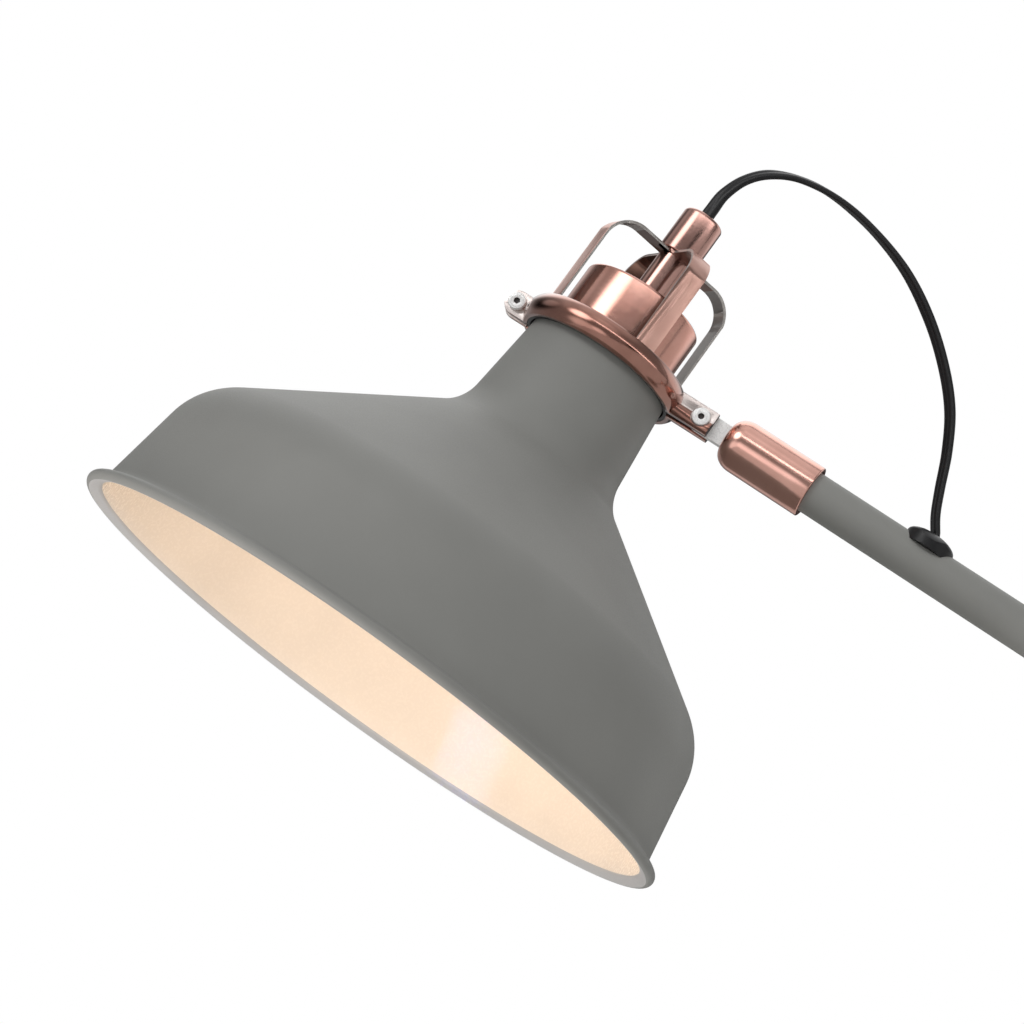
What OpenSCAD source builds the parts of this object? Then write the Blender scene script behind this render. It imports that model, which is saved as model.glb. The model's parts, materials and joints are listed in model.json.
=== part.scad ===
// Architect desk lamp: a round weighted base, a swivelling post, two arms with
// clamped knuckles, and a spun shade whose neck is held in a two-part clamp ring.
// The lamp plane is XZ: the shade hangs towards -X and the elbow leans towards +X.

/* [Shade] */
// Outside diameter over the rolled rim
rim_d = 250; // [220:1:270]
// Angle of the shade's axis from the vertical
shade_tilt = 35.2; // [25:0.1:45]
// Thickness of the spun steel
shade_wall = 0.8; // [0.8:0.1:1.2]
// Outside radius of the neck at its top
neck_r = 28.6; // [27:0.1:29]

/* [Head fittings] */
// Height of the middle of the clamp ring above the rim
ring_s = 148.8; // [146:0.1:151]
// Distance of the tilt screw from the shade's axis
hinge_x = 43.9; // [42:0.1:47]
// Distance of the clamp screw from the shade's axis
clamp_x = 39; // [38:0.1:42]
// Outside radius of the cup over the lampholder
cup_r = 24.6; // [23:0.1:25]
// Height of the cup's top above the rim
cup_top_s = 175.2; // [173:0.2:180]
// Height of the underside of the cage's hub above the rim
hub_s = 196; // [194:0.5:200]
// Outside radius of the cage's straps
cage_r = 30; // [29.9:0.1:31]
// Width of each cage strap
strap_w = 8.6; // [6:0.2:9]
// Outside radius of the bend at the top of each strap
strap_bend = 12; // [6:1:14]
// Turn of the cage about the shade's axis
cage_turn = 58; // [45:1:70]

/* [Arms] */
// Slope of the upper arm down from the head
arm_slope = 35.9; // [30:0.1:42]
// Lean of the lower arm from the vertical
lower_lean = 15; // [5:1:25]
// Length of the upper arm between its pivots
upper_len = 330; // [280:5:360]
// Length of the lower arm between its pivots
lower_len = 320; // [260:5:360]
// Outside radius of both arm tubes
tube_r = 8; // [7.8:0.1:8.2]
// Outside radius of the copper sleeves
sleeve_r = 10.2; // [10:0.1:11]

/* [Base] */
// Diameter of the base
base_d = 200; // [180:5:220]
// Height of the base's cover
base_h = 24; // [22:1:28]
// Height of the lower arm's pivot above the table
shoulder_z = 72; // [70:1:80]

/* [Head cord] */
// Diameter of the cord between the cap and the arm
cord_d = 3.8; // [3.2:0.1:4]

/* [Hidden] */
$fn = 96;
eps = 0.01;

copper = [0.72, 0.45, 0.37];
grey = [0.47, 0.47, 0.45];
steel = [0.78, 0.78, 0.77];
black = [0.1, 0.1, 0.11];
cream = [0.97, 0.9, 0.8];
brass = [0.8, 0.66, 0.35];
iron = [0.3, 0.3, 0.31];

// ---- fits shared by the moving pieces
bolt_r = 3;
running = 0.05;           // radial clearance of a pin that turns
tube_bore_r = tube_r - 1;
spigot_r = tube_bore_r - 0.05;
spindle_r = 5;

// ---- knuckle sizes, from the pivot along the arm
eye_half = 4;             // half thickness of the eye
washer_t = 0.5;
cheek_in = 4.7;           // inner face of each fork cheek
cheek_out = 8.7;
knuckle_r = 9.5;          // round end of the eye and of the cheeks
collar_start = 14;        // bottom of the fork's slot
shank_start = 20;         // where the round shank begins
tube_gap = 30;            // the tube's end
spigot_end = 44;
sleeve_end = 56;

// ---- tongue and sleeve at the head, from the tilt screw along the arm
tongue_half = 1.5;
tongue_h = 8.8;
dome_start = 11.5;
head_sleeve_end = 48.5;
head_tube_start = 26;
grommet_w = 94.7;         // the cord's entry into the upper arm
grommet_top = 11.3;       // height of the grommet's crown over the tube's axis
lead_top = 10;            // the lead's end, below the slanted end of the head cord

// ---- clamp ring
ring_in = 31.4;
ring_out = 35;
ring_half_h = 4.9;
lug_t = 2;
lug_r = 4.9;
rib_r = 2.9;
gap_right = 1.9;          // half gap that takes the tongue and its washers
gap_left = 1.1;
tilt_r = 2;               // radius of the clamp and tilt screws
nut_corner_r = 3.9;       // radius over their nuts' corners

// ---- places
elbow_at = [lower_len * sin(lower_lean), 0, shoulder_z + lower_len * cos(lower_lean)];
pivot_at = elbow_at + upper_len * [-cos(arm_slope), 0, sin(arm_slope)];
shade_axis = [sin(shade_tilt), 0, cos(shade_tilt)];
shade_side = [cos(shade_tilt), 0, -sin(shade_tilt)];
rim_at = pivot_at - ring_s * shade_axis - hinge_x * shade_side;

// +Z up the shade's axis from the middle of its mouth, +X towards the arm
module head_frame() translate(rim_at) rotate([0, shade_tilt, 0]) children();
// +Z down the upper arm from the tilt screw, -X on its upper side
module upper_frame() translate(pivot_at) rotate([0, 90 + arm_slope, 0]) children();
// +Z up the lower arm from the shoulder
module lower_frame() translate([0, 0, shoulder_z]) rotate([0, lower_lean, 0]) children();
module shoulder_frame() translate([0, 0, shoulder_z]) children();
module elbow_fork_frame() lower_frame() translate([0, 0, lower_len]) children();
module elbow_eye_frame() upper_frame() translate([0, 0, upper_len]) children();
module shoulder_eye_frame() lower_frame() rotate([0, 180, 0]) children();

// ---- general shapes
module tube(r_out, r_in, z0, z1) translate([0, 0, z0]) difference() {
    cylinder(r = r_out, h = z1 - z0);
    translate([0, 0, -1]) cylinder(r = r_in, h = z1 - z0 + 2);
}
// A cylinder along Y from y0 to y1
module y_rod(r, y0, y1) translate([0, y0, 0]) rotate([-90, 0, 0]) cylinder(r = r, h = y1 - y0);
// A flat profile in XZ, from y0 to y1
module y_plate(y0, y1) translate([0, y1, 0]) rotate([90, 0, 0]) linear_extrude(y1 - y0) children();
// A hexagonal nut from z0 to z1
module hex_nut(across_r, bore_r, z0, z1) translate([0, 0, z0]) difference() {
    cylinder(r = across_r, h = z1 - z0, $fn = 6);
    translate([0, 0, -1]) cylinder(r = bore_r, h = z1 - z0 + 2);
}

function unit(v) = v / norm(v);
function left_of(v) = [-v[1], v[0]];
// Points of a fillet of radius r at corner b between the lines from a and to c
function fillet(a, b, c, r, n = 8) =
    let (u = unit(a - b), v = unit(c - b), half = acos(u * v) / 2,
         m = b + unit(u + v) * r / sin(half),
         p = b + u * r / tan(half), q = b + v * r / tan(half),
         a0 = atan2(p[1] - m[1], p[0] - m[0]),
         a1 = atan2(q[1] - m[1], q[0] - m[0]),
         turn = a1 - a0 > 180 ? a1 - a0 - 360 : a1 - a0 < -180 ? a1 - a0 + 360 : a1 - a0)
    [for (i = [0 : n]) m + r * [cos(a0 + turn * i / n), sin(a0 + turn * i / n)]];
// Corner b moved inwards by w from both of its lines
function inset(a, b, c, w) =
    let (n1 = left_of(unit(b - a)), n2 = left_of(unit(c - b)))
    b + w * (n1 + n2) / (1 + n1 * n2);
// End point b moved inwards by w from the line that ends at it
function inset_end(a, b, w) = b + w * left_of(unit(b - a));

// ---- shade: [radius, height] corners of the outside, from the flare to the neck
skirt_r = rim_d / 2 - 5.8;
flare = [skirt_r - 0.3, 4.5];
shoulder = [skirt_r - 6.2, 46.5];
throat = [33.2, 103.6];
neck_top = [neck_r, ring_s + 2.6];
shoulder_fillet = 28;
throat_fillet = 20;
bead_r = 2.1;
bead_z = -0.8;            // height of the bead's centre over the rim plane

module shade_profile() {
    w = shade_wall;
    outer = concat([flare], fillet(flare, shoulder, throat, shoulder_fillet),
                   fillet(shoulder, throat, neck_top, throat_fillet), [neck_top]);
    flare_in = flare - [w, 0];
    shoulder_in = inset(flare, shoulder, throat, w);
    throat_in = inset(shoulder, throat, neck_top, w);
    top_in = inset_end(throat, neck_top, w);
    inner = concat([flare_in], fillet(flare_in, shoulder_in, throat_in, shoulder_fillet - w),
                   fillet(shoulder_in, throat_in, top_in, throat_fillet + w), [top_in]);
    polygon(concat(outer, [for (i = [len(inner) - 1 : -1 : 0]) inner[i]]));
    // flared lip and rolled bead
    bead = [rim_d / 2 - bead_r, bead_z];
    polygon([flare + [0, 0.01], flare_in + [0, 0.01], [rim_d / 2 - 6.1, bead_z],
             bead + [0, -bead_r], bead + [-0.4, bead_r - 0.1],
             [rim_d / 2 - 4.4, 1.7], [rim_d / 2 - 5.4, 2.8]]);
    translate(bead) circle(r = bead_r, $fn = 32);
}

module shade() color(grey) head_frame() rotate_extrude($fn = 144) shade_profile();

// ---- lampholder and cap, heights from the rim
holder_mouth = 120;
holder_skirt = 26;        // height of the holder's wide part
holder_taper = 8;         // height of the taper above it
holder_top = 165;
holder_r = 19.5;
holder_neck_r = 9;
shell_bore_r = 13.4;
shell_wall = 0.6;
shell_depth = 24;
contact_t = 0.8;
contact_w = 4;
cup_bottom = 132;
cup_wall = 1.2;
stem_r = 6.6;
cap_r = 8.3;
cap_gap = 1.4;            // thickness of the hub and its play under the cap
cap_top = hub_s + 20;
cap_neck = hub_s + 12;    // where the cap's bore narrows to the cord's bush
bush_r = 3.6;
nipple_r = 4.95;
nipple_bottom = 155;
nut_h = 3.7;
tail_bottom = 150.2;

module lamp_cup() color(copper) head_frame() difference() {
    rotate_extrude() polygon(concat(
        [[cup_r - 1, cup_bottom], [cup_r, cup_bottom]],
        fillet([cup_r, cup_bottom], [cup_r, cup_top_s], [0, cup_top_s], 1.5, 4),
        [[spindle_r, cup_top_s], [spindle_r, cup_top_s - cup_wall],
         [cup_r - 1, cup_top_s - cup_wall]]));
}
module stem() color(copper) head_frame() tube(stem_r, nipple_r + 0.15, cup_top_s, hub_s);
module cord_cap() color(copper) head_frame() rotate_extrude() polygon(concat(
    [[nipple_r + 0.1, hub_s + cap_gap], [cap_r, hub_s + cap_gap]],
    fillet([cap_r, hub_s], [cap_r, cap_top], [0, cap_top], 2.6, 6),
    [[bush_r, cap_top], [bush_r, cap_neck], [nipple_r + 0.1, cap_neck]]));
module cap_bush() color(black) head_frame() tube(bush_r, cord_d / 2, cap_neck + 1, cap_top);
module hollow_nipple() color(brass) head_frame()
    tube(nipple_r, 3.2, nipple_bottom, cap_neck - 1);
module nipple_nut() color(brass) head_frame()
    hex_nut(9, nipple_r + 0.05, cup_top_s - cup_wall - 0.1 - nut_h, cup_top_s - cup_wall - 0.1);
module holder_body() color(cream) head_frame() difference() {
    union() {
        translate([0, 0, holder_mouth]) cylinder(r = holder_r, h = holder_skirt);
        translate([0, 0, holder_mouth + holder_skirt])
            cylinder(r1 = holder_r, r2 = holder_neck_r + 4, h = holder_taper);
        translate([0, 0, holder_mouth + holder_skirt + holder_taper])
            cylinder(r = holder_neck_r, h = holder_top - holder_mouth - holder_skirt - holder_taper);
    }
    // seat of the thread shell, room for the contacts, and the nipple's and the cord's holes
    translate([0, 0, holder_mouth - 1]) cylinder(r = shell_bore_r + shell_wall, h = shell_depth + 1);
    translate([0, 0, holder_mouth + shell_depth - 1]) cylinder(r = holder_neck_r, h = 7);
    translate([0, 0, nipple_bottom]) cylinder(r = nipple_r + 0.05, h = 20);
    translate([0, 0, tail_bottom - 2.2]) cylinder(r = 2.4, h = nipple_bottom - tail_bottom + 4);
}
module thread_shell() color(brass) head_frame()
    tube(shell_bore_r + shell_wall, shell_bore_r, holder_mouth + 1, holder_mouth + shell_depth);
// Centre contact: a strip folded under itself, with its spring end at the bottom
module centre_contact() color(brass) head_frame() {
    bottom = holder_mouth + holder_skirt;
    translate([-3, -contact_w / 2, bottom + 3.2]) cube([11, contact_w, contact_t]);
    translate([-3, -contact_w / 2, bottom]) cube([contact_t, contact_w, 3.3]);
    translate([-3, -contact_w / 2, bottom]) cube([6, contact_w, contact_t]);
}
module side_contact() color(brass) head_frame()
    translate([-8.4, -contact_w / 2, holder_mouth + shell_depth + 1]) cube([contact_t, contact_w, 5]);
module holder_ring() color(cream) head_frame()
    tube(cup_r - 1.1, holder_r + 0.1, cup_bottom - 4, cup_bottom + 0.5);
module cord_tail() color(black) head_frame() translate([0, 0, tail_bottom])
    cylinder(r = cord_d / 2, h = cap_top - tail_bottom, $fn = 48);

// ---- cage: four straps bent from one cross-shaped blank, held under the ring
strap_t = 1.1;
module strap_outline() {
    t = strap_t;
    bend = strap_bend;
    foot = ring_s - 0.4;
    translate([cage_r - t, foot]) square([t, hub_s + t - bend - foot]);
    translate([cage_r - bend, hub_s + t - bend]) intersection() {
        difference() { circle(r = bend); circle(r = bend - t); }
        square(bend + 1);
    }
    translate([5, hub_s]) square([cage_r - bend - 5, t]);
}
module cage() color(copper) head_frame() difference() {
    union() {
        // the straps' outer faces are rolled to the ring's bore
        intersection() {
            for (k = [0 : 3])
                rotate([0, 0, -cage_turn - 90 * k]) y_plate(-strap_w / 2, strap_w / 2) strap_outline();
            translate([0, 0, ring_s - 10]) cylinder(r = cage_r, h = hub_s - ring_s + 20);
        }
        translate([0, 0, hub_s]) cylinder(r = 7.4, h = 1.2);
    }
    translate([0, 0, hub_s - 1]) cylinder(r = spindle_r, h = 4);
}

// ---- clamp ring: side = -1 is the half on the -Y side, side = 1 the other one
module ring_section() intersection() {
    translate([ring_in, -ring_half_h]) square([ring_out - ring_in, 2 * ring_half_h]);
    translate([ring_out - 7, 0]) circle(r = 7, $fn = 64);
}
// Flat lug that reaches from the ring to a screw at distance x
module lug_outline(x) difference() {
    union() {
        polygon([[ring_in + 0.6, -ring_half_h], [ring_in + 0.6, ring_half_h],
                 [x, lug_r], [x, -lug_r]]);
        translate([x, 0]) circle(r = lug_r);
    }
    translate([x, 0]) circle(r = tilt_r + running);
}
// Square-ended lug that carries the arm's tongue
module hinge_lug_outline() difference() {
    polygon([[ring_in + 0.6, -ring_half_h], [ring_in + 0.6, ring_half_h],
             [hinge_x + 5, ring_half_h], [hinge_x + 5, -ring_half_h]]);
    translate([hinge_x, 0]) circle(r = tilt_r + running);
}
// Half-round rib that carries the ring's bead on along the hinge lug's lower edge
module hinge_rib() difference() {
    intersection() {
        translate([ring_in + 2, gap_right + lug_t - 0.8, rib_r - ring_half_h - 0.4])
            rotate([0, 90, 0]) cylinder(r = rib_r, h = hinge_x + 3 - ring_in);
        translate([ring_in + 1, gap_right, -ring_half_h]) cube([30, 10, 2 * ring_half_h]);
    }
    translate([hinge_x, 0, 0]) y_rod(nut_corner_r + 0.1, gap_right + lug_t, 20);
    translate([hinge_x, 0, 0]) y_rod(tilt_r + running, 0, 20);
}
module clamp_half(side) translate([0, 0, ring_s]) {
    start = 4.6;
    rotate([0, 0, side > 0 ? start : 180 + start]) rotate_extrude(angle = 180 - 2 * start)
        ring_section();
    mirror([0, side < 0 ? 1 : 0, 0]) {
        y_plate(gap_right, gap_right + lug_t) hinge_lug_outline();
        hinge_rib();
        y_plate(gap_left, gap_left + lug_t) mirror([1, 0]) lug_outline(clamp_x);
    }
}
module clamp_liner() color(black) head_frame()
    tube(ring_in - 0.05, cage_r + 0.05, ring_s - ring_half_h + 0.3, ring_s + ring_half_h - 0.6);
module clamp_front() color(copper) head_frame() clamp_half(-1);
module clamp_rear() color(copper) head_frame() clamp_half(1);

// Round-headed screw with a hexagonal socket: its head stands on the face at y = -grip
module socket_screw(grip) difference() {
    union() {
        y_rod(3.4, -grip - 2.2, -grip);
        y_rod(tilt_r, -grip - eps, grip + 3.4);
    }
    translate([0, -grip - 1.2, 0]) rotate([90, 0, 0]) cylinder(r = 1.3, h = 2, $fn = 6);
}
module hex_nut_y(y0, y1) translate([0, y0, 0]) rotate([-90, 0, 0])
    hex_nut(nut_corner_r, tilt_r, 0, y1 - y0);

module at_hinge() head_frame() translate([hinge_x, 0, ring_s]) children();
module at_clamp() head_frame() translate([-clamp_x, 0, ring_s]) children();
module tilt_screw() color(steel) at_hinge() socket_screw(gap_right + lug_t);
module tilt_nut() color(steel) at_hinge() hex_nut_y(gap_right + lug_t, gap_right + lug_t + 3);
module tilt_washers() color(black) at_hinge() for (side = [-1, 1]) scale([1, side, 1]) difference() {
    y_rod(4.2, gap_right - 0.3, gap_right);
    y_rod(tilt_r + running, 0, 3);
}
module clamp_screw() color(steel) at_clamp() socket_screw(gap_left + lug_t);
module clamp_nut() color(steel) at_clamp() hex_nut_y(gap_left + lug_t, gap_left + lug_t + 3);

// ---- upper arm
module head_tongue() color(steel) upper_frame() difference() {
    union() {
        y_rod(tongue_h / 2, -tongue_half, tongue_half);
        translate([-tongue_h / 2, -tongue_half, 0]) cube([tongue_h, 2 * tongue_half, 18]);
        translate([0, 0, 17]) cylinder(r = tube_r - 0.1, h = head_tube_start - 17);
        translate([0, 0, head_tube_start - eps]) cylinder(r = spigot_r, h = 12);
    }
    y_rod(tilt_r + running, -5, 5);
}
module head_sleeve() color(copper) upper_frame() difference() {
    rotate_extrude() polygon(concat([[0, dome_start]],
        fillet([0, dome_start], [sleeve_r, dome_start], [sleeve_r, head_sleeve_end], 6.5, 8),
        [[sleeve_r, head_sleeve_end], [0, head_sleeve_end]]));
    translate([0, 0, 17]) cylinder(r = tube_r + 0.02, h = 50);
    translate([-tongue_h / 2, -tongue_half, 5]) cube([tongue_h, 2 * tongue_half, 14]);
}
module upper_tube() color(grey) upper_frame() difference() {
    tube(tube_r, tube_bore_r, head_tube_start, upper_len - tube_gap);
    translate([0, 0, grommet_w]) rotate([0, -90, 0]) cylinder(r = 3.2, h = tube_r + 4);
}
module cord_grommet() color(black) upper_frame() difference() {
    intersection() {
        translate([0, 0, grommet_w]) rotate([0, -90, 0]) rotate_extrude() polygon(concat(
            [[0, tube_bore_r - 1], [3.1, tube_bore_r - 1], [3.1, 4], [9.6, 4]],
            [for (a = [0 : 10 : 90]) [9.6 * cos(a), grommet_top - 3 + 3 * sin(a)]]));
        union() {
            difference() {
                translate([0, 0, grommet_w - 12]) cylinder(r = tube_r + 4, h = 24);
                translate([0, 0, grommet_w - 13]) cylinder(r = tube_r, h = 26);
            }
            translate([0, 0, grommet_w]) rotate([0, -90, 0]) cylinder(r = 3.1, h = tube_r + 4);
        }
    }
    translate([0, 0, grommet_w]) rotate([0, -90, 0]) cylinder(r = cord_d / 2, h = tube_r + 6);
}
module upper_lead() color(black) upper_frame() {
    translate([0, 0, grommet_w]) cylinder(r = cord_d / 2, h = upper_len - grommet_w - 20);
    translate([0, 0, grommet_w]) rotate([0, -90, 0]) cylinder(r = cord_d / 2, h = lead_top);
    translate([0, 0, grommet_w]) sphere(r = cord_d / 2);
}

// ---- knuckle pieces, each at its pivot with its own arm towards -Z
module knuckle_eye() difference() {
    union() {
        y_rod(knuckle_r, -eye_half, eye_half);
        translate([-tube_r, -eye_half, -shank_start]) cube([2 * tube_r, 2 * eye_half, shank_start]);
        translate([0, 0, -tube_gap]) cylinder(r = tube_r, h = tube_gap - shank_start + eps);
        translate([0, 0, -spigot_end]) cylinder(r = spigot_r, h = spigot_end - tube_gap + eps);
    }
    y_rod(bolt_r + running, -eye_half - 1, eye_half + 1);
    translate([0, 0, -spigot_end - 1]) cylinder(r = 2.6, h = spigot_end - 6);
}
module knuckle_fork(shank_len) difference() {
    union() {
        for (side = [-1, 1]) scale([1, side, 1]) {
            y_rod(knuckle_r, cheek_in, cheek_out);
            translate([-tube_r, cheek_in, -collar_start - 3])
                cube([2 * tube_r, cheek_out - cheek_in, collar_start + 3]);
        }
        translate([0, 0, -shank_start]) cylinder(r = 11.8, h = shank_start - collar_start);
        translate([0, 0, -shank_start - shank_len]) cylinder(r = tube_r, h = shank_len + 1);
    }
    y_rod(bolt_r + running, -cheek_out - 1, cheek_out + 1);
    translate([0, 0, -shank_start - shank_len - 1]) cylinder(r = 2.6, h = shank_len + 9);
}
module knuckle_washers() for (side = [-1, 1]) scale([1, side, 1]) difference() {
    y_rod(knuckle_r - 0.5, eye_half, eye_half + washer_t);
    y_rod(bolt_r + 0.1, 0, eye_half + 2);
}
knob_in = cheek_out + 0.4;
knob_len = 15;
module knuckle_bolt() {
    y_rod(bolt_r, -knob_in - knob_len + 4, cheek_out + 1);
    intersection() {
        y_rod(7, cheek_out, cheek_out + 5);
        translate([0, cheek_out - 5.6, 0]) sphere(r = 9);
    }
}
module knuckle_knob() difference() {
    translate([0, -knob_in, 0]) rotate([90, 0, 0]) rotate_extrude() polygon(concat(
        [[0, 0], [6.5, 0], [6.5, 1.6], [10, 2.6]],
        fillet([10, 0], [10, knob_len], [0, knob_len], 2, 4), [[0, knob_len]]));
    for (k = [0 : 11]) rotate([0, 30 * k, 0]) translate([11.2, 0, 0])
        y_rod(1.9, -knob_in - knob_len - 1, -knob_in - 2.2);
    y_rod(bolt_r + running, -knob_in - knob_len + 3, 0);
}
module arm_sleeve(z0, z1) rotate_extrude() polygon(concat([[tube_r + 0.02, z0]],
    fillet([tube_r, z0], [sleeve_r, z0], [sleeve_r, z1], 1.2, 4),
    fillet([sleeve_r, z0], [sleeve_r, z1], [tube_r, z1], 1.2, 4), [[tube_r + 0.02, z1]]));

module elbow_eye() color(copper) elbow_eye_frame() knuckle_eye();
module elbow_washers() color(black) elbow_eye_frame() knuckle_washers();
module elbow_sleeve() color(copper) elbow_eye_frame() arm_sleeve(-sleeve_end, -shank_start);
module elbow_fork() color(copper) elbow_fork_frame() {
    knuckle_fork(tube_gap - shank_start);
    tube_end_spigot();
}
module tube_end_spigot() tube(spigot_r, 2.6, -spigot_end, -tube_gap + eps);
module elbow_bolt() color(steel) elbow_fork_frame() knuckle_bolt();
module elbow_knob() color(copper) elbow_fork_frame() knuckle_knob();

// ---- lower arm
module lower_tube() color(grey) lower_frame() tube(tube_r, tube_bore_r, tube_gap, lower_len - tube_gap);
module lower_top_sleeve() color(copper) elbow_fork_frame() arm_sleeve(-sleeve_end, -shank_start - eps);
module lower_bottom_sleeve() color(copper) shoulder_eye_frame() arm_sleeve(-sleeve_end, -shank_start);
module lower_lead() color(black) lower_frame()
    translate([0, 0, 12]) cylinder(r = cord_d / 2, h = lower_len - 12 - 16);
module shoulder_eye() color(copper) shoulder_eye_frame() knuckle_eye();
module shoulder_washers() color(black) shoulder_eye_frame() knuckle_washers();
module shoulder_bolt() color(steel) shoulder_frame() knuckle_bolt();
module shoulder_knob() color(copper) shoulder_frame() knuckle_knob();

// ---- swivel, heights from the table
flange_top = base_h + 2.5;
post_bottom = flange_top + 0.3;
bush_bottom = 10;
module swivel_post() color(copper) shoulder_frame() difference() {
    knuckle_fork(shoulder_z - shank_start - post_bottom);
    translate([0, 0, -shoulder_z]) cylinder(r = spindle_r, h = shoulder_z - shank_start - 5);
}
module post_sleeve() color(copper) arm_sleeve(post_bottom, shoulder_z - shank_start - eps);
module swivel_spindle() color(steel) tube(spindle_r - running, 3.4, 4.2, shoulder_z - shank_start - 6);
module swivel_bush() color(copper) difference() {
    rotate_extrude() polygon(concat([[0, bush_bottom], [8, bush_bottom], [8, base_h], [20, base_h]],
        fillet([20, base_h], [20, flange_top], [0, flange_top], 1.4, 4), [[0, flange_top]]));
    translate([0, 0, 5]) cylinder(r = spindle_r, h = 30);
}
module bush_nut() color(steel) hex_nut(pocket_r - 3, 8.05, bush_bottom + 0.4, pocket_top);
module spindle_washer() color(steel) tube(7.6, spindle_r + 0.05, 8.6, bush_bottom - 0.1);
module spindle_nut() color(steel) hex_nut(9, spindle_r + 0.02, 4.6, 8.5);

// ---- base
screw_circle_r = 55;      // radius of the circle of plate screws
pocket_r = 17;            // room in the weight for the swivel's nuts
pocket_top = 14;
plate_bottom = 2;
plate_top = 3.5;
base_wall = 1.2;
edge_r = base_d / 2;
module base_shell() color(grey) difference() {
    rotate_extrude($fn = 144) polygon(concat(
        [[edge_r - base_wall, plate_bottom + 0.3], [edge_r, plate_bottom + 0.3]],
        fillet([edge_r, 2], [edge_r, base_h - 3], [26, base_h], 9),
        [[26, base_h], [8.05, base_h], [8.05, base_h - base_wall], [26, base_h - base_wall]],
        fillet([26, base_h - base_wall], [edge_r - base_wall, base_h - 3 - base_wall],
               [edge_r - base_wall, 2], 9 - base_wall)));
    translate([edge_r - 6, 0, 10]) rotate([0, 90, 0]) cylinder(r = 5, h = 12);
}
module base_weight() color(iron) difference() {
    rotate_extrude($fn = 144) polygon([[0, plate_top], [edge_r - 8, plate_top], [edge_r - 8, 13],
        [edge_r - 14, base_h - base_wall - 4], [26, base_h - base_wall], [0, base_h - base_wall]]);
    cylinder(r = 8.05, h = 40);
    cylinder(r = pocket_r, h = pocket_top);
    translate([0, -6, 0]) cube([edge_r, 12, pocket_top]);
    at_plate_screws() cylinder(r = 2, h = 12);
}
module base_plate() color(iron) difference() {
    translate([0, 0, plate_bottom])
        cylinder(r = edge_r - base_wall - 0.2, h = plate_top - plate_bottom, $fn = 144);
    at_plate_screws() cylinder(r = 2.2, h = 5);
}
module at_plate_screws() for (k = [0 : 3]) rotate([0, 0, 45 + 90 * k]) translate([screw_circle_r, 0, 0])
    children();
module plate_screws() color(steel) at_plate_screws() translate([0, 0, plate_bottom + 0.1])
    cylinder(r = 2, h = 9);
module foot_pad() color(black) cylinder(r = edge_r - 5, h = plate_bottom, $fn = 144);
module lead_gland() color(black) translate([edge_r, 0, 10]) rotate([0, 90, 0]) difference() {
    union() {
        translate([0, 0, -7]) cylinder(r = 4.9, h = 8);
        translate([0, 0, 0.1]) cylinder(r = 6.6, h = 2.4);
        translate([0, 0, 2.4]) cylinder(r1 = 5.4, r2 = 4.6, h = 4);
    }
    translate([0, 0, -8]) cylinder(r = 3.3, h = 20);
}

// ---- head cord: [x, z] of its route in the lamp plane, from the tilt screw
ROUTE = [[2.9, 80.3], [5.8, 84.4], [10.5, 90.5], [18.5, 96], [28, 98], [39.5, 95.5], [52, 88], [65, 75],
         [77, 57.5], [85, 38], [89.5, 19], [91, 2], [89.2, -14], [86, -28], [84, -38], [83.6, -46]];
function spline(p, i, t) =
    let (n = len(p) - 1, a = p[max(i - 1, 0)], b = p[i], c = p[i + 1], d = p[min(i + 2, n)])
    0.5 * (2 * b + (c - a) * t + (2 * a - 5 * b + 4 * c - d) * t * t
           + (3 * b - a - 3 * c + d) * t * t * t);
cord_line = concat([for (i = [0 : len(ROUTE) - 2], t = [0, 0.5]) spline(ROUTE, i, t)],
                   [ROUTE[len(ROUTE) - 1]]);
module head_cord() color(black) {
    n = 8;
    last = len(cord_line) - 1;
    points = [for (i = [0 : last], k = [0 : n - 1])
        let (p = cord_line[i],
             d = unit(cord_line[min(i + 1, last)] - cord_line[max(i - 1, 0)]),
             side = [d[1], -d[0]], a = 360 * k / n, r = cord_d / 2)
        pivot_at + [p[0] + r * cos(a) * side[0], r * sin(a), p[1] + r * cos(a) * side[1]]];
    walls = [for (i = [0 : last - 1], k = [0 : n - 1])
        let (k2 = (k + 1) % n) [i * n + k, i * n + k2, (i + 1) * n + k2, (i + 1) * n + k]];
    ends = [[for (k = [n - 1 : -1 : 0]) k], [for (k = [0 : n - 1]) last * n + k]];
    polyhedron(points, concat(walls, ends), convexity = 10);
}

foot_pad();
base_plate();
plate_screws();
base_weight();
base_shell();
lead_gland();
swivel_bush();
bush_nut();
swivel_spindle();
spindle_washer();
spindle_nut();
swivel_post();
post_sleeve();
shoulder_bolt();
shoulder_knob();
shoulder_eye();
shoulder_washers();
lower_bottom_sleeve();
lower_tube();
lower_lead();
lower_top_sleeve();
elbow_fork();
elbow_bolt();
elbow_knob();
elbow_eye();
elbow_washers();
elbow_sleeve();
upper_tube();
upper_lead();
cord_grommet();
head_sleeve();
head_tongue();
tilt_washers();
tilt_screw();
tilt_nut();
clamp_front();
clamp_rear();
clamp_liner();
clamp_screw();
clamp_nut();
shade();
cage();
lamp_cup();
stem();
cord_cap();
cap_bush();
hollow_nipple();
nipple_nut();
holder_body();
thread_shell();
centre_contact();
side_contact();
holder_ring();
cord_tail();
head_cord();
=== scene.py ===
"""Looks of the architect desk lamp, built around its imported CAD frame.

Shapes are worked out in millimetres in a few local frames: the head's frame has
its +Z up the shade's axis from the middle of the mouth, and each arm's frame has
its +Z along the arm. Everything is turned into metres in the frame of the CAD.
"""
import json
import math

import bmesh
import bpy
from mathutils import Matrix, Vector


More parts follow.
